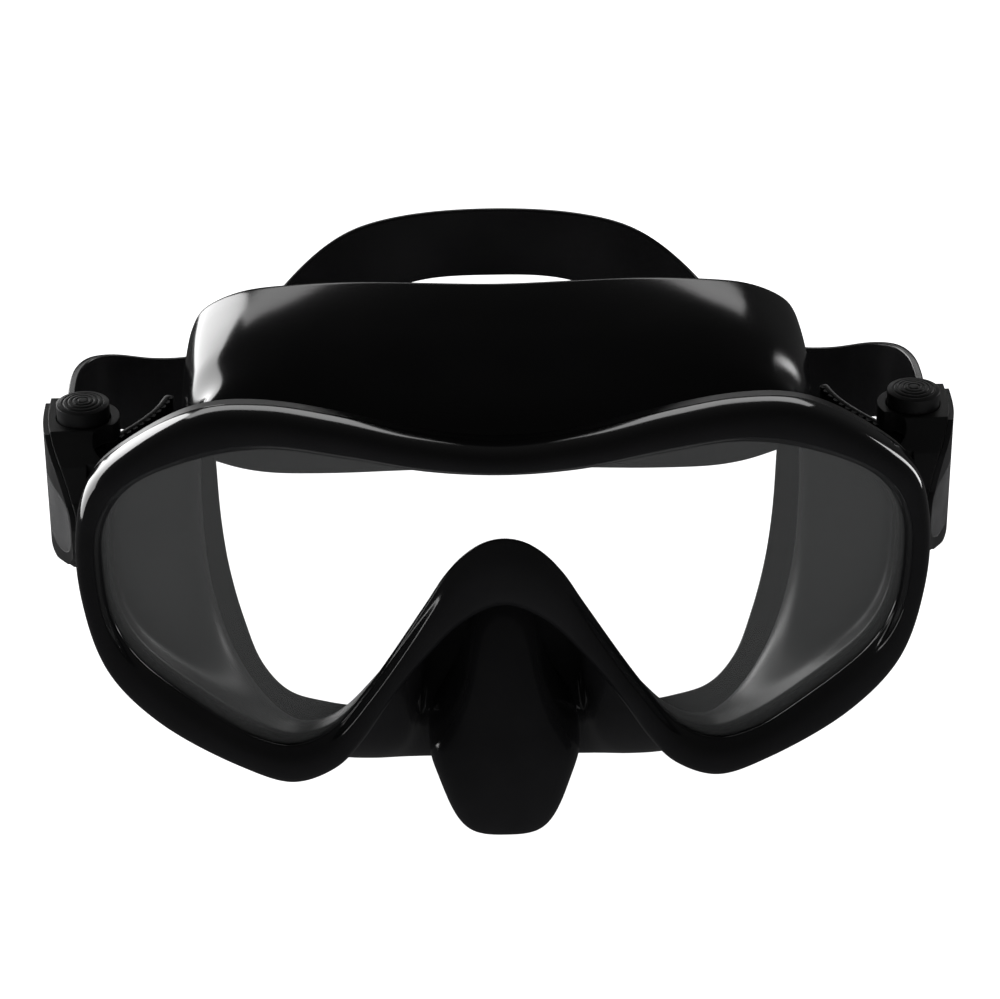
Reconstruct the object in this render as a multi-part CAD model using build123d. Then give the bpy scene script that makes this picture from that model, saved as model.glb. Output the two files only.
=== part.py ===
from build123d import *
import math
import os

# Working frame while modelling: X across the face, Y from the lens back towards the
# face (lens front at Y = 0), Z up. Everything is shifted by -Y_MID on export so the
# origin is the centre of the footprint.
Y_MID = 55.2

# front frame, lens and clamping ring (Y positions)
BEZEL_FRONT, BEZEL_BACK = -4.0, 5.2
LENS_T = 3.2
FRAME_BACK = 9.2
SKIRT_T = 1.8
MID_Y, LOW_Y, REAR_Y = 20.0, 33.0, 52.0     # depths of the skirt outlines
LIP_T = 1.5
FACE_R, FACE_Y = 120.0, 46.0

# half outlines, (x, z), top centre to bottom centre
SIGHT = [(0, 81), (15, 82), (31, 85), (47, 87.4), (61, 85.4), (74, 79.7), (79.2, 72),
         (80, 62), (78.4, 50.5), (73.8, 42), (61, 30.5), (51, 23.6), (43.5, 21.6),
         (36.5, 24.3), (28.4, 34), (16, 53), (12, 59.4), (8, 63.9), (4, 66.5), (0, 67.3)]
RIM = [(0, 86.3), (16, 88.2), (32.5, 92.2), (47, 94.8), (60, 94.3), (74.5, 87.3),
       (82.6, 80), (85.4, 69), (84.9, 55), (80.5, 39.2), (70.6, 27.3), (54.3, 16.2),
       (43.4, 11.9), (34.5, 15.6), (29, 22.4), (23.5, 30.8), (16, 40.8), (8, 48.8), (0, 52.1)]
SKIRT_MID = [(0, 95), (30, 96.6), (46, 95.6), (55.5, 92.8), (60.3, 88.6), (62.8, 82.5), (64, 75),
             (64.3, 65), (63.5, 50), (60.5, 38), (56, 28.5), (47, 17), (36, 10.5), (25, 12),
             (13, 20), (0, 26)]
SKIRT_LOW = [(0, 101), (30, 101.4), (46, 99.6), (56.3, 96), (61.5, 91.2), (64, 85), (65.2, 77),
             (65.5, 67), (64.9, 54), (62.8, 40), (59.2, 27), (54.5, 15.5), (48, 6.8), (39, 2),
             (28, 0.6), (14, 0.4), (0, 0.4)]
SKIRT_REAR = [(0, 105.4), (15, 105.2), (30, 104.1), (43, 101.9), (52.5, 99.3), (58.7, 96),
              (62.7, 92.4), (65, 87.4), (66.3, 81), (67, 72), (67.2, 60), (66.5, 45), (64.6, 30),
              (61, 16), (55.5, 6), (47, 1), (36, 0), (20, 0), (0, 0)]
OPENING = [(0, 96.8), (20, 96.2), (38, 93.8), (50, 90), (56.6, 84.5), (59.8, 76), (60.8, 66),
           (60.6, 56), (60, 44), (58.6, 33), (55.8, 21.5), (52, 11.5), (46.5, 6), (38, 4.6),
           (20, 4.6), (0, 4.6)]

# how far each SIGHT point is moved outwards; wider round the nose arch, where parts
# behind the front frame would otherwise stand above its edge
NECK_OUT = [0.8] * 12 + [1.4, 2.6, 3.6, 3.7, 4.2, 5.0, 5.8, 5.9]
NECK_IN = [-1.0] * 12 + [0.0, 1.2, 2.4, 2.5, 2.9, 3.6, 4.2, 4.6]
FLANGE_OUT = [3.3] * 16 + [4.4, 5.6, 6.6, 6.8]
FLANGE_IN = [-1.0] * 12 + [-0.2, 0.8, 1.6, 1.7, 2.0, 2.5, 3.0, 3.2]
LENS_EDGE = [2.9] * 16 + [4.0, 5.2, 6.2, 6.5]

# nose pocket sections: z, half width, front y
NOSE = [(54, 6.6, 12.0), (44, 7.2, 5.0), (34, 8.3, 0.4), (26, 11.6, -2.0),
        (18, 15.8, -3.6), (9, 13.2, -4.2), (0, 8.4, -2.0)]
NOSE_BACK = 41.0

# buckle, right-hand side; local frame on the roller axis, x outwards, y back, z up
ROLL_X, ROLL_Y, ROLL_Z = 85.6, 33.0, 67.8
PITCH = 5.0
PLATE_IN, PLATE_OUT = 9.9, 13.9
BOSS_R = 7.4
WALL_T, COVER_T, INLAY_T = 1.1, 1.1, 0.45
OUTER = [(7.4, 8.5), (7.4, 2.0), (6.6, -5.5), (4.4, -12.0), (1.8, -17.2), (0.6, -22.6)]
PIVOT_Y, PIVOT_Z = -16.8, -2.85
LUG_R, LUG_X0, LUG_X1 = 4.0, -4.4, -1.6
KNUCKLE_X = -6.5
PIN_R, PIN_FIT = 1.5, 0.05
ROLLER_R, ROLLER_H = 3.6, 9.6
STEM_R, CAP_R, CAP_LOW, CAP_TOP, DOME = 2.05, 5.45, 13.6, 17.0, 0.8
POCKET_R, POCKET_FLOOR = 5.7, 10.9
PAWL_X, PAWL_Y, PAWL_R, PAWL_H = 2.4, -9.4, 1.5, 8.6
PAWL_PIN_R = 0.8

# strap
STRAP_T, TOOTH_H, STRAP_H = 1.6, 0.7, 8.8
WRAP_R = ROLLER_R + 0.05 + STRAP_T / 2
STRAIGHT_END = 50.0
STRAP_BACK = [(90.6, 60.0), (90.2, 70.0), (87.8, 78.0), (82.5, 83.2), (74.0, 87.4), (66.0, 91.0),
              (56.0, 95.8), (40.0, 104.0), (22.0, 111.0), (0, 114.0)]
TAIL = [(-0.8 * WRAP_R, -0.6 * WRAP_R), (-6.5, 1.25), (-9.4, 5.1), (-12.2, 9.4), (-14.6, 14.2),
        (-16.2, 19.4)]
TOOTH_STEP, TEETH_ROUND, TOOTH_PITCH, TOOTH_W = 22.5, 6, 2.0, 1.0
STRAP_TOP = [(0, 96.7), (20, 96.1), (31, 94.2), (38, 90.8), (45, 85.2), (51, 79), (58, 73.8),
             (66, 71.4), (75, 72.4), (84, 75.4), (93, 78)]
STRAP_LOW = [(0, 33), (24, 34.2), (38, 36.3), (50, 39.2), (58, 42.4), (66, 47), (74, 52),
             (82, 57), (93, 60.2)]
WINDOW_UP = [(0, 80.9), (18, 80.2), (33, 75), (46, 64.6)]
WINDOW_DOWN = [(0, 46.6), (18, 48), (33, 53), (46, 60.4)]
WINDOW_END = (47.6, 62.4)


def shifted(points, d):
    """Points moved left of travel by d, one value or one for each point.

    Ends on the mirror line stay on it.
    """
    steps = d if isinstance(d, list) else [d] * len(points)
    out = []
    for i, ((x, z), move) in enumerate(zip(points, steps)):
        ax, az = points[max(i - 1, 0)]
        bx, bz = points[min(i + 1, len(points) - 1)]
        tx, tz = bx - ax, bz - az
        if x == 0:
            tx, tz = (1, 0) if i == 0 else (-1, 0)
        n = math.hypot(tx, tz)
        out.append((x - tz / n * move, z + tx / n * move))
    return out


def widened(moves, extra):
    return [m + extra for m in moves]


def outline(points, y=0.0):
    """Closed symmetric face on the plane Y = y from a half outline."""
    plane = Plane(origin=(0, y, 0), x_dir=(1, 0, 0), z_dir=(0, 1, 0))
    half = Spline(*points, tangents=[(1, 0), (-1, 0)])
    face = make_face(half + mirror(half, Plane.YZ))
    flat = Plane(origin=(0, y, 0), x_dir=(1, 0, 0), z_dir=(0, -1, 0))
    return flat * face


def slab(points, y0, y1):
    """Outline swept from Y = y0 back to Y = y1."""
    return extrude(outline(points, y1), y1 - y0)


def loft_outline(rows):
    """Smooth body through (y, half outline) rows."""
    return loft([outline(points, y) for y, points in rows])


def front_frame():
    nose = [(BEZEL_FRONT, shifted(RIM, -3.0)), (BEZEL_FRONT + 1.0, shifted(RIM, -1.1)),
            (BEZEL_FRONT + 2.4, shifted(RIM, -0.2)), (BEZEL_FRONT + 4.0, RIM)]
    body = loft_outline(nose) + slab(RIM, BEZEL_FRONT + 4.0, BEZEL_BACK)
    body -= slab(SIGHT, BEZEL_FRONT - 1, BEZEL_BACK + 1)
    body -= slab(shifted(SIGHT, widened(LENS_EDGE, 0.1)), 0, LENS_T)
    body -= slab(shifted(SIGHT, widened(FLANGE_OUT, 0.2)), LENS_T, BEZEL_BACK + 1)
    return body


def lens():
    return slab(shifted(SIGHT, LENS_EDGE), 0, LENS_T)


def place(shape, side):
    """Put a buckle-frame shape on the right (+1) or left (-1) of the mask."""
    shape = Location((ROLL_X, ROLL_Y, ROLL_Z), (PITCH, 0, 0)) * shape
    return shape if side > 0 else mirror(shape, Plane.YZ)


def across(radius, x0, x1, y, z):
    """Cylinder along X in the buckle frame."""
    rod = extrude(Plane(origin=(x0, y, z), x_dir=(0, 1, 0), z_dir=(1, 0, 0)) * Circle(radius), x1 - x0)
    return rod


def upright(radius, z0, z1, x=0.0, y=0.0):
    """Cylinder along Z in the buckle frame."""
    return extrude(Pos(x, y, z0) * Circle(radius), z1 - z0)


def block(x0, x1, y0, y1, z0, z1):
    return Pos((x0 + x1) / 2, (y0 + y1) / 2, (z0 + z1) / 2) * Box(x1 - x0, y1 - y0, z1 - z0)


def main_frame():
    body = slab(shifted(RIM, -0.8), BEZEL_BACK, FRAME_BACK)
    body -= slab(shifted(SIGHT, widened(NECK_OUT, 0.1)), BEZEL_BACK - 1, FRAME_BACK + 1)
    lug = across(LUG_R, LUG_X0, LUG_X1, PIVOT_Y, PIVOT_Z)
    lug += block(LUG_X0, LUG_X1, PIVOT_Y - 8.6, PIVOT_Y, PIVOT_Z - LUG_R, PIVOT_Z + LUG_R)
    lug -= across(PIN_R + PIN_FIT, LUG_X0 - 1, LUG_X1 + 1, PIVOT_Y, PIVOT_Z)
    for side in (1, -1):
        body += place(lug, side)
    return body


def shell_form(wall):
    """Outside of the skirt (wall 0) or its inside, as a solid."""
    front = shifted(SIGHT, NECK_IN if wall else NECK_OUT)
    rear = shifted(SKIRT_REAR, -wall)
    rows = [(FRAME_BACK, front), (MID_Y, shifted(SKIRT_MID, -wall)),
            (LOW_Y, shifted(SKIRT_LOW, -wall)), (REAR_Y, rear)]
    return loft_outline(rows) + slab(rear, REAR_Y, 75)


def nose_body(wall):
    """Hollow or solid nose pocket from its level sections."""
    rows = []
    for z, half, front in NOSE:
        w, f = half - wall, front + wall
        level = z + (wall if z == NOSE[-1][0] else 0)
        arc = Spline((w, f + half * 0.75), (w * 0.72, f + half * 0.16), (0, f),
                     (-w * 0.72, f + half * 0.16), (-w, f + half * 0.75),
                     tangents=[(0, -1), (0, 1)])
        back = Polyline((-w, f + half * 0.75), (-w, NOSE_BACK), (w, NOSE_BACK),
                        (w, f + half * 0.75))
        rows.append(Pos(0, 0, level) * make_face(arc + back))
    return loft(rows)


def face_form(gap):
    """Upright cylinder standing in for the face the skirt seals on."""
    return Pos(0, FACE_Y + FACE_R, 52) * Cylinder(FACE_R + gap, 220)


def skirt():
    body = shell_form(0) + nose_body(0)
    hollow = shell_form(SKIRT_T) + nose_body(SKIRT_T)
    hollow -= face_form(LIP_T)
    opening = slab(OPENING, 39, 90)
    body = body - hollow - opening - face_form(0) - block(-80, 80, -20, 90, -20, 0)
    neck = slab(shifted(SIGHT, NECK_OUT), BEZEL_BACK, FRAME_BACK)
    neck -= slab(shifted(SIGHT, NECK_IN), BEZEL_BACK - 1, FRAME_BACK + 1)
    flange = slab(shifted(SIGHT, FLANGE_OUT), LENS_T, BEZEL_BACK)
    flange -= slab(shifted(SIGHT, FLANGE_IN), LENS_T - 1, BEZEL_BACK + 1)
    return body + neck + flange


def plan_curve(d):
    """Outer side of the buckle in plan, moved out by d."""
    return [(x - dz, y + dx) for (x, y), (dx, dz) in zip(OUTER, plan_normals(d))]


def plan_normals(d):
    out = []
    for i in range(len(OUTER)):
        ax, ay = OUTER[max(i - 1, 0)]
        bx, by = OUTER[min(i + 1, len(OUTER) - 1)]
        n = math.hypot(bx - ax, by - ay)
        out.append(((bx - ax) / n * d, (by - ay) / n * d))
    return out


def side_profile(inset):
    """Side silhouette of the buckle, as a prism along X."""
    p = inset
    top = [(9.5, PLATE_OUT - p), (-6.5, PLATE_OUT - p), (-13.0, 9.0 - p), (-17.6, 3.1 - p)]
    low = [(-19.6, -9.6 + p), (-16.0, -12.6 + p), (-10.5, -PLATE_OUT + p), (9.5, -PLATE_OUT + p)]
    plane = Plane(origin=(-20, 0, 0), x_dir=(0, 1, 0), z_dir=(1, 0, 0))
    edge = Polyline(*top) + ThreePointArc(top[-1], (-22.6 + p, PIVOT_Z), low[0])
    edge += Polyline(*low) + Line(low[-1], top[0])
    return extrude(plane * make_face(edge), 40)


def side_shell(d0, d1, y_front, y_back):
    """Upright wall between two offsets of the buckle's outer side."""
    a, b = plan_curve(d0), plan_curve(d1)
    face = make_face(Spline(*a) + Line(a[-1], b[-1]) + Spline(*b) + Line(b[0], a[0]))
    body = Pos(0, 0, -15) * extrude(face, 30)
    return body & block(-20, 20, y_front, y_back, -16, 16)


def buckle_housing():
    edge = Spline(*OUTER) + Polyline(OUTER[-1], (KNUCKLE_X, -22.6), (KNUCKLE_X, -12.2))
    edge += ThreePointArc((KNUCKLE_X, -12.2), (-2.4, -8.4), (-6.3, -3.9))
    edge += ThreePointArc((-6.3, -3.9), (-BOSS_R, 0), (-4.6, 5.8))
    edge += Polyline((-4.6, 5.8), (-2.5, 8.5), OUTER[0])
    body = Pos(0, 0, -15) * extrude(make_face(edge), 30)
    body &= side_profile(0)
    inner = plan_curve(-WALL_T)
    room = make_face(Spline(*inner[:4]) + Polyline(inner[3], (2.4, -11.1), (-9, -11.1), (-9, 9.5),
                                                   (inner[0][0], 9.5), inner[0]))
    body -= Pos(0, 0, -PLATE_IN) * extrude(room, 2 * PLATE_IN)
    body -= block(LUG_X0 - 0.3, LUG_X1 + 0.3, -24, PIVOT_Y + LUG_R + 0.3, -16, 16)
    body -= across(PIN_R, -8, 1.2, PIVOT_Y, PIVOT_Z)
    for end in (1, -1):
        body -= upright(POCKET_R, *sorted((end * POCKET_FLOOR, end * 20)))
        body -= upright(STEM_R + 0.1, *sorted((end * 9, end * 12)))
    body -= upright(PAWL_PIN_R, -10.9, 10.9, PAWL_X, PAWL_Y)
    return body


def oval(length, height, y, z, lean):
    """Rounded bar through the buckle's side, its front end lowered by lean degrees."""
    plane = Plane(origin=(0, y, z), x_dir=(0, 1, 0), z_dir=(1, 0, 0))
    return extrude(plane * Rot(0, 0, lean) * SlotOverall(length, height), 20)


def side_cover():
    body = side_shell(0, COVER_T, -21.4, 7.6) & side_profile(0.7)
    return body - inlay()


def inlay():
    return side_shell(COVER_T - INLAY_T, COVER_T, -20, 7) & oval(25.0, 13.4, -7.0, -2.2, 8.0)


def button(end):
    """Round push button; end is +1 for the top one and -1 for the bottom one."""
    cap = upright(CAP_R, CAP_LOW, CAP_TOP)
    ball = (CAP_R ** 2 + DOME ** 2) / (2 * DOME)
    cap += Pos(0, 0, CAP_TOP + DOME - ball) * Sphere(ball) & upright(CAP_R, CAP_TOP, CAP_TOP + 2)
    for k in (1.2, 2.2, 3.2, 4.2):
        level = CAP_TOP + DOME - (ball - math.sqrt(ball ** 2 - k ** 2))
        cap -= Pos(0, 0, level) * Torus(k, 0.22)
    cap += upright(STEM_R, 3.0, CAP_LOW)
    return cap if end > 0 else mirror(cap, Plane.XY)


def button_spring(end):
    low, high, wire = POCKET_FLOOR + 0.25, CAP_LOW - 0.25, 0.2
    path = Helix(pitch=(high - low) / 2, height=high - low, radius=3.7, center=(0, 0, low))
    ring = Plane(origin=path @ 0, z_dir=path % 0) * Circle(wire)
    coil = sweep(ring, path=path)
    return coil if end > 0 else mirror(coil, Plane.XY)


def strap_roller():
    body = upright(ROLLER_R, -ROLLER_H, ROLLER_H)
    return body - upright(STEM_R + 0.05, -ROLLER_H - 1, ROLLER_H + 1)


def ratchet_pawl():
    arm = make_face(Polyline((1.65, -10.2), (-2.75, -5.85), (-2.2, -5.1), (-1.85, -5.85),
                             (3.15, -8.6), close=True))
    body = Pos(0, 0, -PAWL_H) * extrude(arm, 2 * PAWL_H)
    body += upright(PAWL_R, -PAWL_H, PAWL_H, PAWL_X, PAWL_Y)
    return body - upright(PAWL_PIN_R + 0.05, -PAWL_H - 1, PAWL_H + 1, PAWL_X, PAWL_Y)


def pawl_pin():
    return upright(PAWL_PIN_R, -10.9, 10.9, PAWL_X, PAWL_Y)


def hinge_pin():
    return across(PIN_R, KNUCKLE_X, 1.2, PIVOT_Y, PIVOT_Z)


def ribbon(points, thick):
    """Plan face of a band of even thickness along a centre line."""
    a = shifted(points, thick / 2)
    b = shifted(points, -thick / 2)
    return make_face(Spline(*a) + Line(a[-1], b[-1]) + Spline(*b) + Line(b[0], a[0]))


def strap_end():
    """Straight run, wrap and free tail, in the buckle frame."""
    run = STRAIGHT_END - ROLL_Y
    outer_r, inner_r = WRAP_R + STRAP_T / 2, WRAP_R - STRAP_T / 2
    half = Circle(outer_r) - Circle(inner_r)
    half &= Pos(0, -10) * Rectangle(30, 20)
    half -= make_face(Polyline((0, 0), (-20, 0), (-16, -12), close=True))
    plan = half + Pos(WRAP_R, run / 2) * Rectangle(STRAP_T, run) + ribbon(TAIL, STRAP_T)
    tooth = Rectangle(TOOTH_H * 2, TOOTH_W)
    spots = [Pos(outer_r, TOOTH_PITCH * (k + 0.5)) * tooth for k in range(int(run / TOOTH_PITCH))]
    spots += [Rot(0, 0, -TOOTH_STEP * (k + 0.5)) * Pos(outer_r, 0) * tooth
              for k in range(TEETH_ROUND)]
    line = Spline(*shifted(TAIL, STRAP_T / 2))
    count = int(line.length / TOOTH_PITCH)
    for k in range(count):
        at = (k + 0.5) / count
        lean = math.degrees(math.atan2((line % at).Y, (line % at).X))
        spots.append(Pos(line @ at) * Rot(0, 0, lean + 90) * tooth)
    plan = plan + spots
    return Pos(0, 0, -STRAP_H) * extrude(plan, 2 * STRAP_H)


def front_view(points_up, points_down):
    """Symmetric prism along Y between an upper and a lower half curve."""
    flat = Plane(origin=(0, 0, 0), x_dir=(1, 0, 0), z_dir=(0, -1, 0))
    up = Spline(*points_up, tangents=[(1, 0), (1, 0)])
    low = Spline(*points_down, tangents=[(1, 0), (1, 0)])
    half = up + Line(points_up[-1], points_down[-1]) + low
    return extrude(flat * make_face(half + mirror(half, Plane.YZ)), -200)


def window_view():
    flat = Plane(origin=(0, 0, 0), x_dir=(1, 0, 0), z_dir=(0, -1, 0))
    half = Spline(*WINDOW_UP, tangents=[(1, 0), (1, -1)])
    half += ThreePointArc(WINDOW_UP[-1], WINDOW_END, WINDOW_DOWN[-1])
    half += Spline(*WINDOW_DOWN, tangents=[(1, 0), (1, 1)])
    return extrude(flat * make_face(half + mirror(half, Plane.YZ)), -200)


def strap():
    x = ROLL_X + WRAP_R
    centre = [(x, STRAIGHT_END - 6), (x, STRAIGHT_END)] + STRAP_BACK
    a, b = shifted(centre, STRAP_T / 2), shifted(centre, -STRAP_T / 2)
    tangents = [(0, 1), (-1, 0)]
    half = Spline(*a, tangents=tangents) + Line(a[0], b[0]) + Spline(*b, tangents=tangents)
    band = Pos(0, 0, 20) * extrude(make_face(half + mirror(half, Plane.YZ)), 85)
    band = band & front_view(STRAP_TOP, STRAP_LOW)
    band -= window_view()
    return band + place(strap_end(), 1) + place(strap_end(), -1)


def build():
    """Every node of the mask, by name, in the modelling frame."""
    nodes = {"front_frame": front_frame(), "lens": lens(), "main_frame": main_frame(),
             "skirt": skirt(), "strap": strap()}
    sided = {"buckle_housing": buckle_housing(), "side_cover": side_cover(),
             "cover_inlay": inlay(), "hinge_pin": hinge_pin(),
             "top_button": button(1), "bottom_button": button(-1),
             "top_spring": button_spring(1), "bottom_spring": button_spring(-1),
             "strap_roller": strap_roller(), "ratchet_pawl": ratchet_pawl(),
             "pawl_pin": pawl_pin()}
    for name, shape in sided.items():
        nodes["right_" + name] = place(shape, 1)
        nodes["left_" + name] = place(shape, -1)
    return nodes


os.makedirs("parts", exist_ok=True)
for node, shape in build().items():
    shape = Pos(0, -Y_MID, 0) * shape
    if isinstance(shape, (list, ShapeList)):
        shape = shape[0]
    shape.label = node
    export_step(shape, "parts/" + node + ".step")
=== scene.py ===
import math

import bpy
import numpy as np
from mathutils import Matrix, Vector


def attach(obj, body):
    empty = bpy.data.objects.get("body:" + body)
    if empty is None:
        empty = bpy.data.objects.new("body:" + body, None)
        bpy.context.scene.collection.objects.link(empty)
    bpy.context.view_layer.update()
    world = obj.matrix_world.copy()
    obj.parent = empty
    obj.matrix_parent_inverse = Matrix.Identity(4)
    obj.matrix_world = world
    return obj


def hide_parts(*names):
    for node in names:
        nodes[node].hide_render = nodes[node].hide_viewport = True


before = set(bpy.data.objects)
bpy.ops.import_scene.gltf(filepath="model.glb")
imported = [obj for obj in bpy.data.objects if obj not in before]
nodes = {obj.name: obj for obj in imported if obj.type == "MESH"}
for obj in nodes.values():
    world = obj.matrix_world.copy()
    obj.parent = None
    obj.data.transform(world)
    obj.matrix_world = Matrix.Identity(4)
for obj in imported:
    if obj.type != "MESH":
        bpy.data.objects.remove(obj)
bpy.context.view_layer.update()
MM = 0.001
Y_MID = 55.2   # depth of the frame's origin in the modelling frame, which starts at the lens

# ---------------------------------------------------------------- outlines
# Half outlines from the front, as (x, z) in mm from top to bottom; each one's marks divide it.
SIGHT = [(0, 81), (15, 82), (31, 85), (47, 87.4), (61, 85.4), (74, 79.7), (79.2, 72),
         (80, 62), (78.4, 50.5), (73.8, 42), (61, 30.5), (51, 23.6), (43.5, 21.6),
         (36.5, 24.3), (28.4, 34), (16, 53), (12, 59.4), (8, 63.9), (4, 66.5), (0, 67.3)]
SIGHT_MARKS = [(75, 79), (80, 62), (61, 30.5), (43.5, 21.6), (22, 43.5)]
RIM = [(0, 86.3), (16, 88.2), (32.5, 92.2), (47, 94.8), (60, 94.3), (74.5, 87.3),
       (82.6, 80), (85.4, 69), (84.9, 55), (80.5, 39.2), (70.6, 27.3), (54.3, 16.9),
       (43.4, 13.0), (34.5, 16.3), (29, 22.4), (23.5, 30.8), (16, 40.8), (8, 48.8), (0, 52.1)]
RIM_MARKS = [(80, 83), (85.4, 64), (64, 22.6), (43.4, 13.0), (15, 42)]
SKIRT_MID = [(0, 95), (30, 96.6), (46, 95.6), (55.5, 92.8), (60.3, 88.6), (62.8, 82.5), (64, 75),
             (64.3, 65), (63.5, 50), (60.5, 38), (56, 28.5), (47, 17), (36, 10.5), (26, 10.5),
             (20.5, 13), (17.6, 18.5), (15.4, 27), (11.5, 33), (0, 36)]
MID_MARKS = [(61.3, 86.5), (64.3, 65), (56.6, 29.5), (46, 16.2), (18.6, 16)]
SKIRT_LOW = [(0, 101), (30, 101.4), (46, 99.6), (56.3, 96), (61.5, 91.2), (64, 85), (65.2, 77),
             (65.5, 67), (64.9, 54), (62.8, 40), (59.2, 27), (54.5, 15.5), (48, 6.8), (39, 2),
             (28, 0.6), (14, 0.4), (0, 0.4)]
LOW_MARKS = [(61.9, 90.5), (65.4, 62), (59, 26.5), (47, 6), (21, 0.5)]
SKIRT_REAR = [(0, 105.3), (15, 105.1), (30, 104.0), (43, 101.8), (52.5, 99.2), (58.7, 95.9),
              (62.7, 92.3), (65, 87.3), (66.3, 81), (67, 72), (67.2, 60), (66.5, 45), (64.6, 30),
              (61, 16), (55.5, 6), (47, 1), (36, 0.1), (20, 0.1), (0, 0.1)]
REAR_MARKS = [(63, 91.9), (67.2, 62), (63.6, 25.5), (48, 1.4), (22, 0.1)]
OPENING = [(0, 96.8), (20, 96.2), (38, 93.8), (50, 90), (56.6, 84.5), (59.8, 76), (60.8, 66),
           (60.6, 56), (60, 44), (58.6, 33), (55.8, 21.5), (52, 11.5), (46.5, 6), (38, 4.6),
           (20, 4.6), (0, 4.6)]
OPENING_MARKS = [(57.2, 83.8), (60.7, 62), (57, 26), (46, 5.8), (22, 4.6)]
# How far the skirt's neck and flange lie outside each point of SIGHT.
NECK_OUT = [0.8] * 12 + [1.4, 2.6, 3.6, 3.7, 4.2, 5.0, 5.8, 5.9]
NECK_IN = [-1.0] * 12 + [0.0, 1.2, 2.4, 2.5, 2.9, 3.6, 4.2, 4.6]
FLANGE_OUT = [3.1] * 16 + [4.2, 5.4, 6.4, 6.6]
FLANGE_IN = [-1.0] * 12 + [-0.2, 0.8, 1.6, 1.7, 2.0, 2.5, 3.0, 3.2]
COUNTS = [44, 22, 40, 22, 34, 30]   # ring points between one mark and the next
SPAN_POINTS, RELAX_STEPS = 40, 12
FACE_R, FACE_Y = 120.0, 46.0        # the face's curve that the skirt's lip follows


def through(points, closed_ends=True):
    """Dense smooth curve through points, by a cubic with chord-length steps."""
    p = np.array(points, float)
    if closed_ends:
        first, last = p[1] * (-1, 1), p[-2] * (-1, 1)
    else:
        first, last = 2 * p[0] - p[1], 2 * p[-1] - p[-2]
    q = np.vstack([first, p, last])
    t = np.concatenate([[0], np.cumsum(np.sqrt(np.linalg.norm(np.diff(q, axis=0), axis=1)))])

    def mix(i, j, a, b):
        return (t[j] - u) / (t[j] - t[i]) * a + (u - t[i]) / (t[j] - t[i]) * b

    out = []
    for i in range(1, len(q) - 2):
        u = np.linspace(t[i], t[i + 1], SPAN_POINTS, endpoint=False)[:, None]
        a1, a2, a3 = (mix(k, k + 1, q[k], q[k + 1]) for k in (i - 1, i, i + 1))
        b1, b2 = mix(i - 1, i + 1, a1, a2), mix(i, i + 2, a2, a3)
        out.append(mix(i, i + 1, b1, b2))
    out.append(p[-1:])
    return np.vstack(out)


def spaced(curve, n):
    """n + 1 points evenly along a dense curve."""
    d = np.concatenate([[0], np.cumsum(np.linalg.norm(np.diff(curve, axis=0), axis=1))])
    at = np.linspace(0, d[-1], n + 1)
    return np.stack([np.interp(at, d, curve[:, k]) for k in range(curve.shape[1])], 1)


def ring_of(points, marks):
    """Closed symmetric ring of points; the marks keep rings of different shape in step."""
    dense = through(points)
    nearest = [int(np.argmin(np.linalg.norm(dense - m, axis=1))) for m in marks]
    stops = [0] + nearest + [len(dense) - 1]
    half = [spaced(dense[a:b + 1], c)[:-1] for a, b, c in zip(stops, stops[1:], COUNTS)]
    half = np.vstack(half + [dense[-1:]])
    for _ in range(RELAX_STEPS):
        mid = half[1:-1] + 0.5 * ((half[:-2] + half[2:]) / 2 - half[1:-1])
        tang = half[2:] - half[:-2]
        tang /= np.linalg.norm(tang, axis=1)[:, None]
        move = mid - half[1:-1]
        half[1:-1] += tang * np.sum(move * tang, axis=1)[:, None]
    left = half[-2:0:-1] * (-1, 1)
    return np.vstack([half, left])


def moved(points, steps):
    """Outline points pushed outwards by one step each."""
    p = np.array([(-points[1][0], points[1][1])] + points + [(-points[-2][0], points[-2][1])], float)
    tang = p[2:] - p[:-2]
    tang /= np.linalg.norm(tang, axis=1)[:, None]
    return p[1:-1] + np.stack([-tang[:, 1], tang[:, 0]], 1) * np.array(steps)[:, None]


def outward(ring):
    """Unit normals pointing out of a clockwise closed ring."""
    tang = np.roll(ring, -1, 0) - np.roll(ring, 1, 0)
    tang /= np.linalg.norm(tang, axis=1)[:, None]
    return np.stack([-tang[:, 1], tang[:, 0]], 1)


def at_depth(xz, y):
    """Ring points (x, z) as points in the modelling frame, at depth y."""
    return np.stack([xz[:, 0], np.broadcast_to(y, (len(xz),)), xz[:, 1]], 1)


def make(name, verts, faces, body, mat, smooth=True):
    """Mesh piece from points in the modelling frame (mm), riding on a CAD body."""
    v = np.array(verts, float) * MM
    v[:, 1] -= Y_MID * MM
    mesh = bpy.data.meshes.new(name)
    mesh.from_pydata([tuple(p) for p in v], [], [tuple(int(i) for i in f) for f in faces])
    mesh.validate()
    mesh.shade_smooth() if smooth else mesh.shade_flat()
    obj = bpy.data.objects.new(name, mesh)
    bpy.context.scene.collection.objects.link(obj)
    mesh.materials.append(mat)
    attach(obj, body)
    return obj


def grid_faces(rows, cols, closed_cols=False, closed_rows=False, keep=None):
    """Quads of a grid of points, row after row; keep says which of them stay."""
    faces = []
    for j in range(rows if closed_rows else rows - 1):
        for i in range(cols if closed_cols else cols - 1):
            if keep is not None and not keep[j, i]:
                continue
            a, b = j * cols + i, j * cols + (i + 1) % cols
            c, d = ((j + 1) % rows) * cols + (i + 1) % cols, ((j + 1) % rows) * cols + i
            faces.append((a, b, c, d))
    return faces


def smoother(obj):
    """One level of subdivision, in the render as well."""
    mod = obj.modifiers.new("smooth", "SUBSURF")
    mod.levels = mod.render_levels = 1


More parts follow.
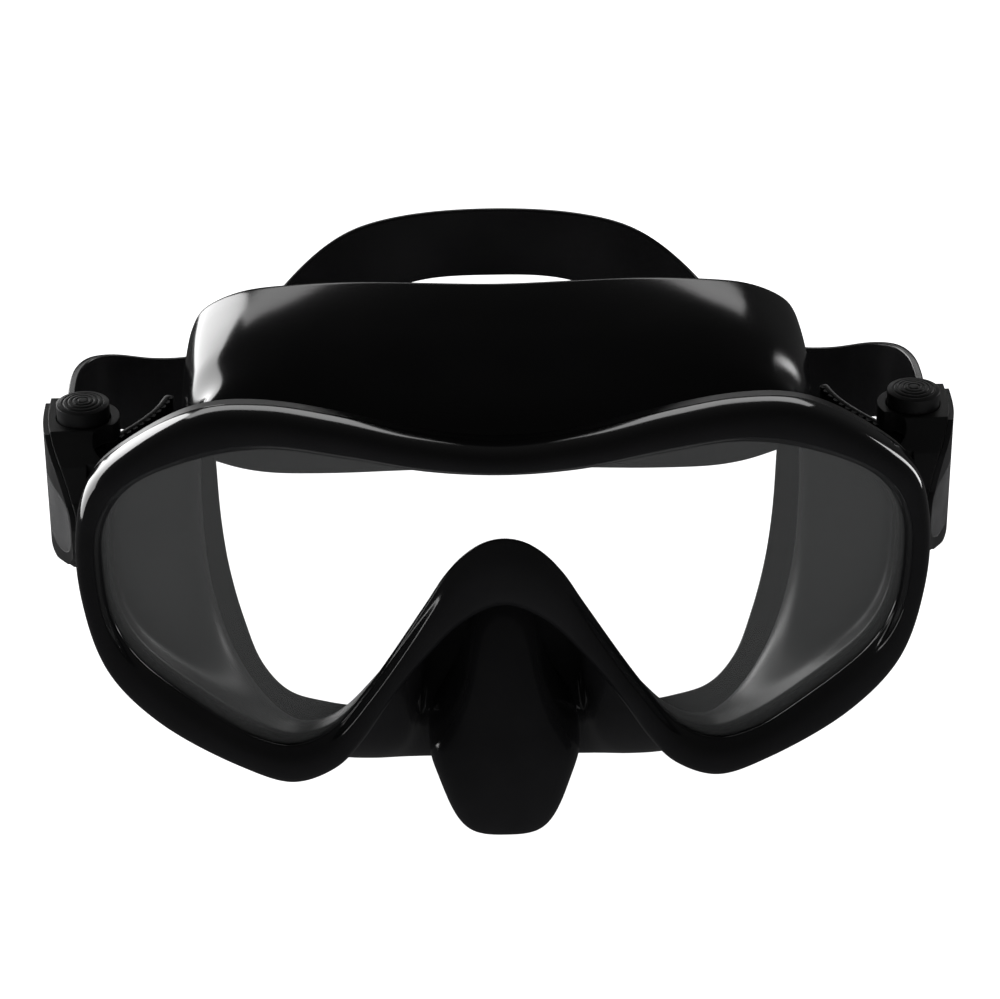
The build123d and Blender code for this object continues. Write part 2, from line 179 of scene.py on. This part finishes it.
# ---------------------------------------------------------------- materials
def material(name, color, rough, metallic=0.0, specular=0.5, coat=0.0, bump=None, mottle=0.0,
             scale=400.0, edge=0.0, rough_var=0.0):
    """Principled material with colour variation, roughness variation and fine bump."""
    mat = bpy.data.materials.new(name)
    mat.use_nodes = True
    tree = mat.node_tree
    node = tree.nodes
    bsdf = node["Principled BSDF"]
    bsdf.inputs["Base Color"].default_value = (*color, 1)
    bsdf.inputs["Roughness"].default_value = rough
    bsdf.inputs["Metallic"].default_value = metallic
    bsdf.inputs["Specular IOR Level"].default_value = specular
    bsdf.inputs["Coat Weight"].default_value = coat
    bsdf.inputs["Coat Roughness"].default_value = 0.04
    coord = node.new("ShaderNodeTexCoord")
    if mottle or rough_var:
        noise = node.new("ShaderNodeTexNoise")
        noise.inputs["Scale"].default_value = scale * 0.15
        noise.inputs["Detail"].default_value = 6
        tree.links.new(coord.outputs["Object"], noise.inputs["Vector"])
        if mottle:
            ramp = node.new("ShaderNodeValToRGB")
            ramp.color_ramp.elements[0].position = 0.3
            ramp.color_ramp.elements[1].position = 0.7
            ramp.color_ramp.elements[0].color = tuple(c * (1 - mottle) for c in color) + (1,)
            ramp.color_ramp.elements[1].color = tuple(c * (1 + mottle) for c in color) + (1,)
            tree.links.new(noise.outputs["Fac"], ramp.inputs["Fac"])
            tree.links.new(ramp.outputs["Color"], bsdf.inputs["Base Color"])
        if rough_var:
            span = node.new("ShaderNodeMapRange")
            span.inputs["To Min"].default_value = max(rough - rough_var, 0.02)
            span.inputs["To Max"].default_value = rough + rough_var
            tree.links.new(noise.outputs["Fac"], span.inputs["Value"])
            tree.links.new(span.outputs["Result"], bsdf.inputs["Roughness"])
    normal = None
    if edge:
        bevel = node.new("ShaderNodeBevel")
        bevel.samples = 4
        bevel.inputs["Radius"].default_value = edge * MM
        normal = bevel.outputs["Normal"]
    if bump:
        grain = node.new("ShaderNodeTexNoise")
        grain.inputs["Scale"].default_value = scale * bump[1]
        grain.inputs["Detail"].default_value = 3
        tree.links.new(coord.outputs["Object"], grain.inputs["Vector"])
        dent = node.new("ShaderNodeBump")
        dent.inputs["Strength"].default_value = bump[0]
        dent.inputs["Distance"].default_value = 0.0002
        tree.links.new(grain.outputs["Fac"], dent.inputs["Height"])
        if normal:
            tree.links.new(normal, dent.inputs["Normal"])
        normal = dent.outputs["Normal"]
    if normal:
        tree.links.new(normal, bsdf.inputs["Normal"])
    return mat


BEZEL = material("bezel_gloss", (0.006, 0.006, 0.0065), 0.09, coat=0.3, mottle=0.2, rough_var=0.02)
FRAME_MAT = material("frame_satin", (0.008, 0.008, 0.0085), 0.32, mottle=0.2, edge=0.3,
                     bump=(0.08, 8), rough_var=0.04)
SKIRT_MAT = material("silicone_gloss", (0.0065, 0.0065, 0.007), 0.13, specular=0.42, mottle=0.25,
                     bump=(0.03, 1.2), rough_var=0.03)
STRAP_MAT = material("silicone_satin", (0.009, 0.009, 0.0095), 0.2, specular=0.45, mottle=0.25,
                     bump=(0.06, 5), rough_var=0.05)
# Rougher inner silicone. Its base colour is painted lighter than the skirt's, a painted reflection
# standing in for light caught by the inner shoulder.
SKIRT_INNER_PAINTED_REFLECTION = material("silicone_inner_painted_reflection", (0.016, 0.016, 0.0165), 0.36, specular=0.4, mottle=0.15,
                       rough_var=0.03)
BUCKLE_MAT = material("buckle_matt", (0.013, 0.013, 0.0135), 0.42, edge=0.35, mottle=0.25,
                      bump=(0.15, 12), rough_var=0.05)
COVER_MAT = material("cover_matt", (0.015, 0.015, 0.0155), 0.4, edge=0.3, mottle=0.25,
                     bump=(0.12, 12), rough_var=0.05)
INLAY_MAT = material("inlay_texture", (0.05, 0.05, 0.052), 0.6, mottle=0.35, bump=(0.9, 9),
                     scale=900, edge=0.2)
BUTTON_MAT = material("button_matt", (0.011, 0.011, 0.0115), 0.38, edge=0.3, mottle=0.2,
                      bump=(0.12, 10), rough_var=0.05)
ACETAL = material("acetal", (0.02, 0.02, 0.021), 0.25, mottle=0.2, edge=0.2, rough_var=0.05)
STEEL = material("ground_steel", (0.55, 0.55, 0.57), 0.25, metallic=1.0, mottle=0.1,
                 bump=(0.2, 6), rough_var=0.08)
GLASS = material("tempered_glass", (0.5, 0.51, 0.51), 0.02, specular=0.45, mottle=0.02)
GLASS.node_tree.nodes["Principled BSDF"].inputs["Alpha"].default_value = 0.06


def recolor(node, mat):
    """Gives a CAD node its procedural material."""
    obj = nodes[node]
    obj.data.materials.clear()
    obj.data.materials.append(mat)


recolor("lens", GLASS)
recolor("main_frame", FRAME_MAT)
for side in ("left_", "right_"):
    for part, mat in (("buckle_housing", BUCKLE_MAT), ("side_cover", COVER_MAT),
                      ("cover_inlay", INLAY_MAT), ("hinge_pin", STEEL), ("pawl_pin", STEEL),
                      ("top_button", BUTTON_MAT), ("bottom_button", BUTTON_MAT),
                      ("top_spring", STEEL), ("bottom_spring", STEEL),
                      ("strap_roller", ACETAL), ("ratchet_pawl", ACETAL)):
        recolor(side + part, mat)


# ---------------------------------------------------------------- front bezel
# The ring's section: share of the way from sight to rim, mm outwards, depth in mm.
BEZEL_SECTION = [
    (0, 2.9, 3.1), (0, 2.9, 0.02), (0, 0.0, 0.02), (0, 0.0, -0.9), (0, 0.5, -1.3),
    (0.10, 0.4, -2.1), (0.2, 0.2, -3.0), (0.33, 0, -3.7), (0.48, 0, -4.0),
    (0.64, 0, -3.95), (0.78, 0, -3.5), (0.89, 0, -2.6), (0.965, 0, -1.2),
    (1.0, 0, 0.6), (1.0, 0, 3.0), (1.0, 0, 4.6), (0.985, 0, 5.1), (0.9, 0, 5.15),
    (0, 3.5, 5.15), (0, 3.5, 3.1)]


def bezel():
    """Glossy ring round the lens: one rounded section swept between sight and rim."""
    inner, outer = ring_of(SIGHT, SIGHT_MARKS), ring_of(RIM, RIM_MARKS)
    band, normals = outer - inner, outward(inner)
    rows = [at_depth(inner + band * across + normals * out, y) for across, out, y in BEZEL_SECTION]
    faces = grid_faces(len(rows), len(inner), True, True)
    obj = make("front_bezel", np.vstack(rows), faces, "mask", BEZEL)
    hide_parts("front_frame")
    smoother(obj)


bezel()


# ---------------------------------------------------------------- silicone skirt
SKIRT_WALL = 1.8
SKIRT_FRONT = 9.2                 # depth at which the neck becomes the skirt's wall
FLANGE_FRONT, FLANGE_REAR, NECK_FRONT, NECK_REAR = 3.35, 5.1, 5.15, 7.5
FLANGE_INSIDE, NECK_INSIDE = 4.6, 7.0
WALL_ROWS = 26                    # rows of the outer wall, front to rear
NECK_ROWS, NEAR_LENS_ROWS = 4, 9  # inner rows drawn in the less glossy silicone, whose colour is painted lighter as a painted reflection
LOWEST = 0.05                     # keeps the skirt just above the floor
LIP_GUESS, LIP_ROUNDS = 55.0, 8   # where the search for the wall's rear end starts, and its steps
LIP_ROUNDING = 0.6                # the wall stops this far before its end, where the lip begins
# The lip: share of the way from the wall to the opening, and depth off the face's curve.
LIP = [(0.04, 0.05), (0.15, 0.0), (0.38, 0.0), (0.68, 0.0), (0.9, 0.0), (0.975, -0.15),
       (1.0, -0.7), (0.97, -1.3), (0.85, -1.5), (0.66, -1.5), (0.48, -1.8), (0.36, -2.8)]
# The nose pocket at each height: z, half width, depth of its front.
NOSE = [(53, 6.6, 11.0), (44, 7.2, 5.0), (34, 8.3, 0.4), (26, 11.2, -2.0), (18, 15.8, -3.6),
        (10, 13.6, -4.1), (5, 11.6, -3.9), (2, 9.8, -3.2), (0.5, 8.2, -2.2), (0.0, 6.6, -1.0)]
HOLE_TOP, HOLE_FRONT, HOLE_REAR = 50, 9, 38   # the hole in the skirt for the pocket
HOLE_MARGIN = 1.0                 # by which the hole is narrower than the pocket on each side
POCKET_LEVELS = np.concatenate([np.linspace(53, 12, 24),
                                [9, 6.5, 4.5, 3, 1.8, 0.9, 0.35, 0.1, 0.0]])
POCKET_ROUND, POCKET_POWER = 0.85, 0.72   # depth of the rounded front per half width, bulge
POCKET_FRONT_POINTS, POCKET_SIDE_POINTS = 12, 9
POCKET_BEHIND, POCKET_LEAST, SIDE_LEAST = 1.2, 4, 0.5   # reach past the wall; least depths
POCKET_FLOOR = [(0.66, 0.68), (0.33, 1.34), (0.0, 3.0)]   # share of the width, mm set back

LEVELS = np.array([SKIRT_FRONT, 20.0, 33.0, 52.0, 75.0])
REAR_RING = ring_of(SKIRT_REAR, REAR_MARKS)
RINGS = np.stack([ring_of(moved(SIGHT, NECK_OUT), SIGHT_MARKS), ring_of(SKIRT_MID, MID_MARKS),
                  ring_of(SKIRT_LOW, LOW_MARKS), REAR_RING, REAR_RING])


def skirt_at(y):
    """Skirt contour (x, z) for each ring point at its own depth y."""
    y = np.broadcast_to(np.asarray(y, float), (RINGS.shape[1],))
    slope = np.zeros_like(RINGS)
    for k in range(len(LEVELS)):
        a, b = max(k - 1, 0), min(k + 1, len(LEVELS) - 1)
        slope[k] = (RINGS[b] - RINGS[a]) / (LEVELS[b] - LEVELS[a])
    k = np.clip(np.searchsorted(LEVELS, y, "right") - 1, 0, len(LEVELS) - 2)
    h = LEVELS[k + 1] - LEVELS[k]
    t = np.clip((y - LEVELS[k]) / h, 0, 1)[:, None]
    h = h[:, None]
    i = np.arange(RINGS.shape[1])
    p0, p1, m0, m1 = RINGS[k, i], RINGS[k + 1, i], slope[k, i] * h, slope[k + 1, i] * h
    return ((2 * t**3 - 3 * t**2 + 1) * p0 + (t**3 - 2 * t**2 + t) * m0
            + (-2 * t**3 + 3 * t**2) * p1 + (t**3 - t**2) * m1)


def face_y(x):
    """Depth of the face's curve at x."""
    return FACE_Y + FACE_R - np.sqrt(FACE_R**2 - np.clip(np.abs(x), 0, 100)**2)


def nose_width(z):
    """Half width of the nose pocket at height z."""
    rows = NOSE[::-1]
    return np.interp(z, [r[0] for r in rows], [r[1] for r in rows])


def skirt():
    """Flange, neck, wall, rear lip and inner wall as one closed tube of rings."""
    y_end = np.full(RINGS.shape[1], LIP_GUESS)
    for _ in range(LIP_ROUNDS):
        y_end = face_y(skirt_at(y_end)[:, 0])
    front = RINGS[0]
    flange_out = ring_of(moved(SIGHT, FLANGE_OUT), SIGHT_MARKS)
    flange_in = ring_of(moved(SIGHT, FLANGE_IN), SIGHT_MARKS)
    neck_in = ring_of(moved(SIGHT, NECK_IN), SIGHT_MARKS)
    rows = [at_depth(ring, y) for ring, y in ((flange_out, FLANGE_FRONT), (flange_out, FLANGE_REAR),
                                              (front, NECK_FRONT), (front, NECK_REAR))]
    shares = np.linspace(0, 1, WALL_ROWS)
    depths = [SKIRT_FRONT + (y_end - SKIRT_FRONT) * t for t in shares[:-1]]
    for y in depths + [y_end - LIP_ROUNDING]:
        rows.append(at_depth(skirt_at(y), y))
    edge, mouth = skirt_at(y_end), ring_of(OPENING, OPENING_MARKS)
    for t, lift in LIP:
        xz = edge * (1 - t) + mouth * t
        rows.append(at_depth(xz, face_y(xz[:, 0]) + lift))
    for y in depths[:0:-1]:
        xz = skirt_at(y)
        rows.append(at_depth(xz - outward(xz) * SKIRT_WALL, y))
    for ring, y in ((neck_in, SKIRT_FRONT), (neck_in, NECK_INSIDE),
                    (flange_in, FLANGE_INSIDE), (flange_in, FLANGE_FRONT)):
        rows.append(at_depth(ring, y))
    verts = np.vstack(rows)
    verts[:, 2] = np.maximum(verts[:, 2], LOWEST)

    count, n = len(rows), len(front)
    grid = verts.reshape(count, n, 3)
    below = np.roll(grid, -1, 0)
    centre = (grid + below + np.roll(grid, -1, 1) + np.roll(below, -1, 1)) / 4
    x, y, z = np.abs(centre[..., 0]), centre[..., 1], centre[..., 2]
    hole = ((x < nose_width(z) - HOLE_MARGIN) & (z < HOLE_TOP)
            & (y > HOLE_FRONT) & (y < HOLE_REAR))
    faces = grid_faces(count, n, True, True, keep=~hole)
    obj = make("silicone_skirt", verts, faces, "mask", SKIRT_MAT)
    obj.data.materials.append(SKIRT_INNER_PAINTED_REFLECTION)
    # The inner rows near the lens get the lighter-painted silicone, a painted reflection on the inner
    # shoulder.
    first = (count - NECK_ROWS - NEAR_LENS_ROWS) * n
    for poly in obj.data.polygons:
        if min(poly.vertices) >= first:
            poly.material_index = 1
    smoother(obj)
    return obj


MEMBRANE_END, MEMBRANE_TOP, MEMBRANE_NEAR = 44.0, 75, 2.2
MEMBRANE = [(float(y), skirt_at(y)) for y in np.linspace(SKIRT_FRONT, MEMBRANE_END, 90)]


def membrane_y(x, z):
    """Depth at which the skirt's lower wall, near x, first lies below height z."""
    for y, ring in MEMBRANE:
        low = ring[(ring[:, 1] < MEMBRANE_TOP) & (np.abs(ring[:, 0] - x) < MEMBRANE_NEAR)]
        if len(low) and low[:, 1].min() < z:
            return y
    return MEMBRANE_END


def nose_pocket():
    """Nose pocket shell: U-shaped level sections, open towards the face."""
    widths = through([(z, width) for z, width, _ in NOSE], False)[::-1]
    fronts = through([(z, front) for z, _, front in NOSE], False)[::-1]
    turn = np.linspace(0, math.pi / 2, POCKET_FRONT_POINTS)
    rows = []
    for z in POCKET_LEVELS:
        width = float(np.interp(z, widths[:, 0], widths[:, 1]))
        front = float(np.interp(z, fronts[:, 0], fronts[:, 1]))
        deep = width * POCKET_ROUND
        back = max(membrane_y(width + SIDE_LEAST, z) + POCKET_BEHIND, front + POCKET_LEAST)
        nose = np.stack([width * np.sin(turn)**POCKET_POWER,
                         front + deep * (1 - np.cos(turn)**POCKET_POWER)], 1)
        side_y = np.linspace(front + deep, max(back, front + deep + SIDE_LEAST),
                             POCKET_SIDE_POINTS + 1)[1:]
        half = np.vstack([nose, np.stack([np.full(POCKET_SIDE_POINTS, width), side_y], 1)])
        full = np.vstack([half[::-1] * (-1, 1), half[1:]])
        rows.append(np.column_stack([full, np.full(len(full), z)]))
    last = rows[-1]
    for share, inset in POCKET_FLOOR:
        flat = last.copy()
        flat[:, 0] *= share
        flat[:, 1] = np.maximum(flat[:, 1], last[:, 1].min() + inset)
        rows.append(flat)
    faces = grid_faces(len(rows), len(last))
    obj = make("nose_pocket", np.vstack(rows), faces, "mask", SKIRT_MAT)
    solid = obj.modifiers.new("wall", "SOLIDIFY")
    solid.thickness = SKIRT_WALL * MM
    solid.offset = 1
    smoother(obj)


skirt_obj = skirt()
nose_pocket()
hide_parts("skirt")


# ---------------------------------------------------------------- strap
# Axis of the roller at +x and its tilt; the strap's thickness, half its width, and the
# radius of its middle round the roller, where it turns until WRAP_END.
ROLL_X, ROLL_Y, ROLL_Z, PITCH = 85.6, 33.0, 67.8, math.radians(5)
STRAP_T, STRAP_H, WRAP_R = 1.6, 8.8, 4.45
WRAP_END = math.radians(36.87)
# Seen from above: the free end inside the roller (x, y from its axis), then the way round.
TAIL = [(-0.8 * WRAP_R, -0.6 * WRAP_R), (-6.5, 1.25), (-9.4, 5.1), (-12.2, 9.4), (-14.6, 14.2),
        (-16.2, 19.4)]
STRAP_START = (90.05, 45.5)
STRAP_BACK = [(90.05, 50.0), (90.6, 60.0), (90.2, 70.0), (87.8, 78.0), (82.5, 83.2), (74.0, 87.4),
              (66.0, 91.0), (56.0, 95.8), (40.0, 104.0), (22.0, 111.0), (0, 114.0), (-22.0, 111.0)]
# Seen from behind: the strap's edges and the window between its two bands (x, z).
STRAP_TOP = [(0, 96.7), (20, 96.1), (31, 94.2), (38, 90.8), (45, 85.2), (51, 79), (58, 73.8),
             (66, 71.4), (75, 72.4), (84, 75.4), (93, 78)]
STRAP_LOW = [(0, 33), (24, 34.2), (38, 36.3), (50, 39.2), (58, 42.4), (66, 47), (74, 52),
             (82, 57), (93, 60.2)]
WINDOW_UP = [(0, 80.9), (18, 80.2), (33, 75), (42, 68.6), (47, 62.9)]
WINDOW_DOWN = [(0, 46.6), (18, 48), (33, 53), (42, 57.9), (47, 61.9)]
WINDOW_X, WINDOW_Y = 47.0, 80     # the window ends at this x and lies behind this depth
MEET_LOW, MEET_HIGH, MEET_RUN = 62.2, 62.6, 16   # inner rows where the bands have met
SHARES = np.array([0, 0.03, 0.33, 0.44, 0.56, 0.67, 0.97, 1.0])   # rows across one band
STRAP_EDGE, STRAP_BEVEL = 0.55, 0.35
TAIL_STEPS, WRAP_POINTS, BACK_STEPS = 14, 16, 64
STRAIGHT = np.linspace(1.5, 11, 6)   # the flat run from the roller towards the head
# A moulded rib: its section (mm along the strap, mm out) and its spacing.
RIB = [(-0.66, -0.3), (-0.56, 0.02), (-0.3, 0.36), (0.3, 0.36), (0.56, 0.02), (0.66, -0.3)]
RIB_STEP, RIB_TURN = 2.0, 22.5
RIBS_STRAIGHT, RIBS_ROUND, RIBS_TAIL = 8, 6, 12
RIB_INSET, RIB_BEVEL = 0.1, 0.14


def in_buckle(x, y, z, side=1):
    """Buckle-frame point to the modelling frame."""
    c, s = math.cos(PITCH), math.sin(PITCH)
    return (side * (ROLL_X + x), ROLL_Y + y * c - z * s, ROLL_Z + y * s + z * c)


def along(points, x):
    """Height at x of a curve that is mirrored at x = 0."""
    dense = through([(-points[1][0], points[1][1])] + points, False)
    order = np.argsort(dense[:, 0])
    return float(np.interp(x, dense[order, 0], dense[order, 1]))


def back_column(x, y):
    """The strap's eight points from lower to upper edge, at one place behind the head."""
    low, high = along(STRAP_LOW, x), along(STRAP_TOP, x)
    if x < WINDOW_X:
        a, b = along(WINDOW_DOWN, x), along(WINDOW_UP, x)
    else:
        t = min((x - WINDOW_X) / MEET_RUN, 1)
        a = MEET_LOW * (1 - t) + (low + SHARES[3] * (high - low)) * t
        b = MEET_HIGH * (1 - t) + (low + SHARES[4] * (high - low)) * t
    return [(x, y, z) for z in (low, low + STRAP_EDGE, low + (a - low) * 0.5, a, b,
                                b + (high - b) * 0.5, high - STRAP_EDGE, high)]


def strap():
    """Strap from one free end, round its roller and the head, to the other, with a window."""
    tail = spaced(through(TAIL, False)[::-1], TAIL_STEPS)[:-1]
    wrap = [(-WRAP_R * math.cos(a), -WRAP_R * math.sin(a))
            for a in np.linspace(WRAP_END, math.pi, WRAP_POINTS)]
    straight = [(WRAP_R, y) for y in STRAIGHT]
    columns = [[in_buckle(x, y, (2 * share - 1) * STRAP_H) for share in SHARES]
               for x, y in list(tail) + wrap + straight]
    dense = through(STRAP_BACK, False)
    back = spaced(np.vstack([[STRAP_START], dense[dense[:, 0] >= 0]]), BACK_STEPS)
    columns += [back_column(x, y) for x, y in back[1:]]
    half = np.array(columns)
    full = np.vstack([half, half[-2::-1] * (-1, 1, 1)])
    n = len(full)
    keep = np.ones((n - 1, 7), bool)
    mid_x = np.abs((full[:-1, 3, 0] + full[1:, 3, 0]) / 2)
    mid_y = (full[:-1, 3, 1] + full[1:, 3, 1]) / 2
    keep[(mid_x < WINDOW_X) & (mid_y > WINDOW_Y), 3] = False
    faces = grid_faces(n, 8, keep=keep)
    obj = make("head_strap", full.reshape(-1, 3), faces, "left_buckle", STRAP_MAT)
    solid = obj.modifiers.new("thick", "SOLIDIFY")
    solid.thickness = (STRAP_T - 0.04) * MM
    solid.offset = 0
    solid.use_even_offset = True
    bevel = obj.modifiers.new("edge", "BEVEL")
    bevel.width, bevel.segments, bevel.angle_limit = STRAP_BEVEL * MM, 2, math.radians(50)
    smoother(obj)
    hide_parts("strap")


def rib_spots():
    """Where the ribs stand, as (point, outward direction) in the buckle's frame."""
    outer = WRAP_R + STRAP_T / 2
    spots = [((outer, RIB_STEP * (k + 0.5)), (1, 0)) for k in range(RIBS_STRAIGHT)]
    for k in range(RIBS_ROUND):
        a = -math.radians(RIB_TURN * (k + 0.5))
        spots.append(((outer * math.cos(a), outer * math.sin(a)), (math.cos(a), math.sin(a))))
    step = spaced(through(TAIL, False), RIBS_TAIL)
    for a, b in zip(step, step[1:]):
        t = (b - a) / np.linalg.norm(b - a)
        normal = np.array((-t[1], t[0]))
        spots.append((tuple((a + b) / 2 + normal * STRAP_T / 2), tuple(normal)))
    return spots


def strap_teeth():
    """Moulded ratchet ribs on the strap's outer side, both ends."""
    corners = len(RIB)
    for side, name in ((1, "right_strap_ribs"), (-1, "left_strap_ribs")):
        verts, faces = [], []
        for (px, py), (nx, ny) in rib_spots():
            base = len(verts)
            for z in (-STRAP_H + RIB_INSET, STRAP_H - RIB_INSET):
                for run, out in RIB:
                    verts.append(in_buckle(px - ny * run + nx * out, py + nx * run + ny * out, z, side))
            faces += [tuple(base + i for i in range(corners)),
                      tuple(base + 2 * corners - 1 - i for i in range(corners))]
            for i in range(corners):
                j = (i + 1) % corners
                faces.append((base + i, base + j, base + corners + j, base + corners + i))
        obj = make(name, verts, faces, "left_buckle", STRAP_MAT, smooth=False)
        bevel = obj.modifiers.new("edge", "BEVEL")
        bevel.width, bevel.segments = RIB_BEVEL * MM, 2


strap()
strap_teeth()


# ---------------------------------------------------------------- studio
FLOOR_HALF, FLOOR_GLOW = 8, 1.15
LIGHT_AIM = (0, 0, 0.06)
CAMERA_AIM = (0, -Y_MID * MM, 0.0755)
CAMERA_AWAY, CAMERA_LENS, CAMERA_SHIFT = 0.7, 126.76, -0.0035
CAMERA_TILT, CAMERA_YAW, CAMERA_ROLL = math.radians(24), math.radians(-1.3), math.radians(0.45)
# Each softbox: place, size and power.
SOFTBOXES = {"left_box": ((-1.25, 0.8, 0.2), (2.3, 0.9), 24),
             "right_box": ((1.35, 1.0, 0.35), (0.4, 1.0), 6),
             "back_box": ((0, 2.0, 0.9), (1.6, 0.3), 2)}


def stage():
    """Plain white floor that glows softly and isn't mirrored by the glossy silicone."""
    mesh = bpy.data.meshes.new("floor")
    corners = [(-FLOOR_HALF, -FLOOR_HALF, 0), (FLOOR_HALF, -FLOOR_HALF, 0),
               (FLOOR_HALF, FLOOR_HALF, 0), (-FLOOR_HALF, FLOOR_HALF, 0)]
    mesh.from_pydata(corners, [], [(0, 1, 2, 3)])
    floor = bpy.data.objects.new("floor", mesh)
    bpy.context.scene.collection.objects.link(floor)
    mat = material("pale_floor", (0.9, 0.9, 0.9), 0.9, specular=0.1)
    bsdf = mat.node_tree.nodes["Principled BSDF"]
    bsdf.inputs["Emission Color"].default_value = (1, 1, 1, 1)
    bsdf.inputs["Emission Strength"].default_value = FLOOR_GLOW
    mesh.materials.append(mat)
    floor.visible_glossy = False


def softbox(name, place, size, energy):
    """Rectangular area light aimed at the mask."""
    light = bpy.data.lights.new(name, "AREA")
    light.shape = "RECTANGLE"
    light.size, light.size_y = size
    light.energy = energy
    obj = bpy.data.objects.new(name, light)
    bpy.context.scene.collection.objects.link(obj)
    obj.location = place
    obj.rotation_euler = (Vector(LIGHT_AIM) - Vector(place)).to_track_quat("-Z", "Y").to_euler()


def camera():
    """Long lens in front of the mask and above it, turned and rolled slightly."""
    back = np.array((math.sin(CAMERA_YAW) * math.cos(CAMERA_TILT),
                     -math.cos(CAMERA_YAW) * math.cos(CAMERA_TILT), math.sin(CAMERA_TILT)))
    right = np.cross(-back, (0, 0, 1))
    right /= np.linalg.norm(right)
    up = np.cross(right, -back)
    x_axis = right * math.cos(CAMERA_ROLL) - up * math.sin(CAMERA_ROLL)
    y_axis = up * math.cos(CAMERA_ROLL) + right * math.sin(CAMERA_ROLL)
    eye = np.array(CAMERA_AIM) + back * CAMERA_AWAY
    data = bpy.data.cameras.new("camera")
    data.sensor_width, data.lens = 36, CAMERA_LENS
    data.shift_x = CAMERA_SHIFT
    data.clip_start = 0.01
    obj = bpy.data.objects.new("camera", data)
    bpy.context.scene.collection.objects.link(obj)
    axes = [[x_axis[i], y_axis[i], back[i], eye[i]] for i in range(3)]
    obj.matrix_world = Matrix(axes + [[0, 0, 0, 1]])
    bpy.context.scene.camera = obj


stage()
camera()
for box_name, (box_place, box_size, box_power) in SOFTBOXES.items():
    softbox(box_name, box_place, box_size, box_power)
world = bpy.data.worlds.new("studio")
world.use_nodes = True
world.node_tree.nodes["Background"].inputs["Color"].default_value = (1, 1, 1, 1)
world.node_tree.nodes["Background"].inputs["Strength"].default_value = 0.04
bpy.context.scene.world = world
bpy.context.scene.view_settings.view_transform = "Standard"
